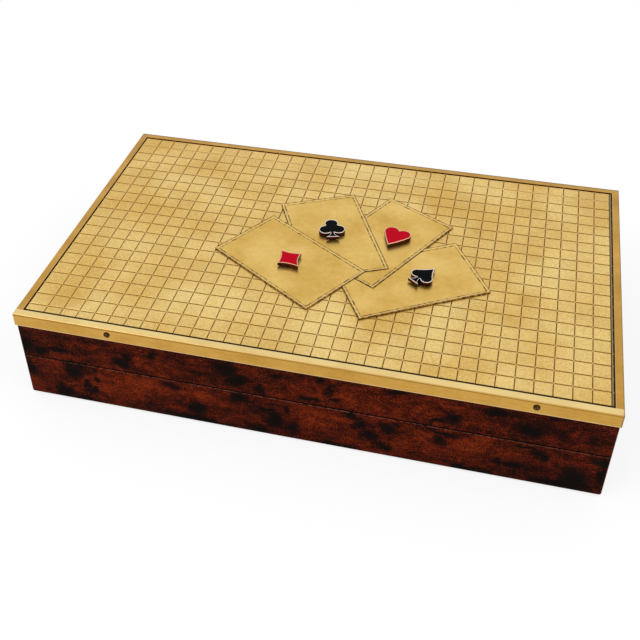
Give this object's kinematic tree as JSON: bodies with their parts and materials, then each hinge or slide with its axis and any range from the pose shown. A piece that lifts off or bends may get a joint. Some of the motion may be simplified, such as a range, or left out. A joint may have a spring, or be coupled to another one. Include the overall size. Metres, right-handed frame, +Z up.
{
  "type": "games box",
  "caption": "Low wooden games box with a hinged lid under an engraved brass grid plate, a fan of plain cards with raised enamel suits, and divided wells inside.",
  "frame": {"origin": "centre of the underside of the baize pad, on the table", "axes": "+X to the right along the long side, +Y to the hinges at the back, +Z up"},
  "size_m": [0.3816, 0.2366, 0.0757],
  "materials": {
    "plate_brass": "hand-ruled brass, satin, patina in the grooves",
    "card_brass": "satin brass, mottled",
    "frame_brass": "drawn brass angle, satin",
    "suit_metal": "dark patinated brass with a bright rim",
    "red_enamel": "glossy red enamel",
    "black_enamel": "glossy black enamel",
    "dark_screw": "blackened screw heads",
    "hinge_brass": "polished brass",
    "burl_veneer": "dark red burl veneer, lacquered",
    "liner_wood": "oiled cedar",
    "board_wood": "plain plywood",
    "baize": "green baize"
  },
  "bodies": {
    "base": {"base_wall_front": "burl_veneer", "base_wall_right": "burl_veneer", "base_wall_back": "burl_veneer", "base_wall_left": "burl_veneer", "base_board": "board_wood", "baize_pad": "baize", "floor_cloth": "baize", "base_liner_front": "liner_wood", "base_liner_right": "liner_wood", "base_liner_back": "liner_wood", "base_liner_left": "liner_wood", "long_divider_left": "liner_wood", "long_divider_right": "liner_wood", "cross_divider_left": "liner_wood", "cross_divider_right": "liner_wood", "channel_partition_1": "liner_wood", "channel_partition_2": "liner_wood", "hinge_base_leaf_left": "hinge_brass", "hinge_base_leaf_right": "hinge_brass", "hinge_pin_left": "hinge_brass", "hinge_pin_right": "hinge_brass", "base_leaf_screw_left_1": "hinge_brass", "base_leaf_screw_left_2": "hinge_brass", "base_leaf_screw_right_1": "hinge_brass", "base_leaf_screw_right_2": "hinge_brass"},
    "lid": {"lid_plate": "plate_brass", "lid_board": "board_wood", "lid_cloth": "baize", "lid_frame_front": "frame_brass", "lid_frame_right": "frame_brass", "lid_frame_back": "frame_brass", "lid_frame_left": "frame_brass", "lid_wall_front": "burl_veneer", "lid_wall_right": "burl_veneer", "lid_wall_back": "burl_veneer", "lid_wall_left": "burl_veneer", "card_diamond": "card_brass", "card_club": "card_brass", "card_heart": "card_brass", "card_spade": "card_brass", "suit_diamond": "suit_metal", "suit_club": "suit_metal", "suit_heart": "suit_metal", "suit_spade": "suit_metal", "enamel_diamond": "red_enamel", "enamel_club": "black_enamel", "enamel_heart": "red_enamel", "enamel_spade": "black_enamel", "frame_screw_front_1": "dark_screw", "frame_screw_front_2": "dark_screw", "frame_screw_back_1": "dark_screw", "frame_screw_back_2": "dark_screw", "frame_screw_left": "dark_screw", "frame_screw_right": "dark_screw", "hinge_lid_leaf_left": "hinge_brass", "hinge_lid_leaf_right": "hinge_brass", "lid_leaf_screw_left_1": "hinge_brass", "lid_leaf_screw_left_2": "hinge_brass", "lid_leaf_screw_right_1": "hinge_brass", "lid_leaf_screw_right_2": "hinge_brass"}
  },
  "joints": [
    {"name": "lid_hinge", "type": "hinge", "parent": "base", "child": "lid", "pos_m": [0, 0.1129, 0.0364], "axis": [-1, 0, 0], "range_deg": [0, 93]}
  ]
}
